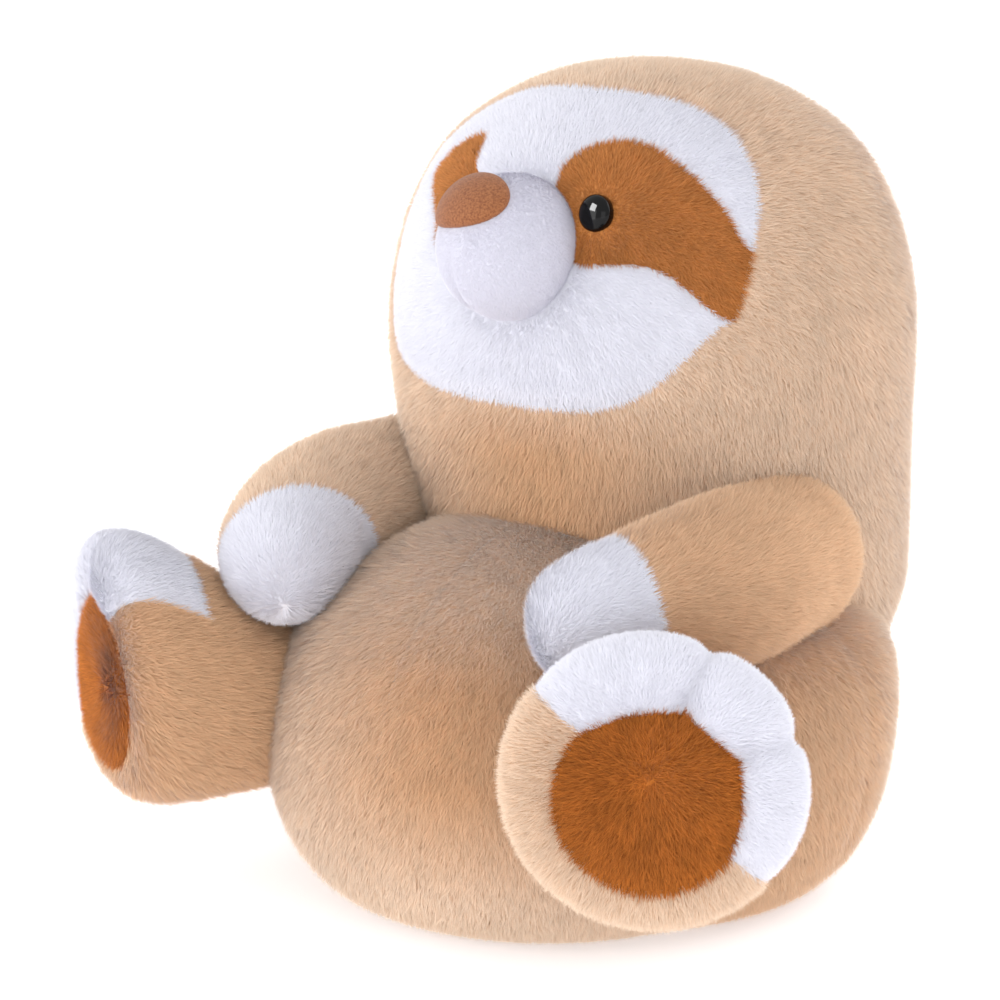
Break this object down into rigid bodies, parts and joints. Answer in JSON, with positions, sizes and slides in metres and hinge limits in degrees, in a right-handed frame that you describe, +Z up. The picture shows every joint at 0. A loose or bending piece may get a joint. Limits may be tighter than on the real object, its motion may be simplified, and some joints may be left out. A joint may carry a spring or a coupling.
{
  "type": "plush sloth",
  "caption": "Seated plush sloth: egg-shaped head and chest, round belly, stubby arms laid over it and short splayed legs; a soft toy to hug or to sit on a shelf.",
  "frame": {"origin": "on the floor under the middle of the toy's bounding box", "axes": "+Z up, the face towards -Y, +X towards the animal's left"},
  "size_m": [0.3188, 0.2868, 0.3],
  "materials": {
    "tan_plush": "long laid pile",
    "white_plush": "long laid pile",
    "brown_plush": "long laid pile",
    "muzzle_velour": "short dense pile",
    "nose_suede": "fine suede nap",
    "eye_plastic": "gloss",
    "washer_plastic": "matte",
    "fibrefill": "loose fibre",
    "pellet_cloth": "plain weave"
  },
  "bodies": {
    "trunk": {"belly_left": "tan_plush", "belly_right": "tan_plush", "rump_left": "tan_plush", "rump_right": "tan_plush", "base_panel": "tan_plush", "pellet_bag": "pellet_cloth", "lower_stuffing": "fibrefill", "hood_left": "tan_plush", "hood_right": "tan_plush", "chest_left": "tan_plush", "chest_right": "tan_plush", "eye_patch_left": "brown_plush", "eye_patch_right": "brown_plush", "eye_left": "eye_plastic", "eye_right": "eye_plastic", "eye_washer_left": "washer_plastic", "eye_washer_right": "washer_plastic", "forehead_panel": "white_plush", "cheek_panel": "white_plush", "muzzle_cover": "muzzle_velour", "nose": "nose_suede", "upper_stuffing": "fibrefill"},
    "arm_left": {"arm_left_sleeve": "tan_plush", "arm_left_paw": "white_plush", "arm_left_stuffing": "fibrefill"},
    "arm_right": {"arm_right_sleeve": "tan_plush", "arm_right_paw": "white_plush", "arm_right_stuffing": "fibrefill"},
    "leg_left": {"leg_left_cover": "tan_plush", "leg_left_toe_cap": "white_plush", "leg_left_sole": "brown_plush", "leg_left_stuffing": "fibrefill"},
    "leg_right": {"leg_right_cover": "tan_plush", "leg_right_toe_cap": "white_plush", "leg_right_sole": "brown_plush", "leg_right_stuffing": "fibrefill"}
  },
  "joints": [
    {"name": "shoulder_left", "type": "hinge", "parent": "trunk", "child": "arm_left", "pos_m": [0.084, 0.01073, 0.132], "axis": [-0.5878, 0, 0.809], "range_deg": [0, 45], "stiffness_Nm_per_rad": 0.03},
    {"name": "shoulder_right", "type": "hinge", "parent": "trunk", "child": "arm_right", "pos_m": [-0.084, 0.01073, 0.132], "axis": [-0.5878, 0, -0.809], "range_deg": [0, 45], "stiffness_Nm_per_rad": 0.03},
    {"name": "hip_left", "type": "hinge", "parent": "trunk", "child": "leg_left", "pos_m": [0.086, -0.06327, 0.067], "axis": [0, 0, 1], "range_deg": [0, 20], "stiffness_Nm_per_rad": 0.05},
    {"name": "hip_right", "type": "hinge", "parent": "trunk", "child": "leg_right", "pos_m": [-0.086, -0.06327, 0.067], "axis": [0, 0, -1], "range_deg": [0, 20], "stiffness_Nm_per_rad": 0.05}
  ]
}
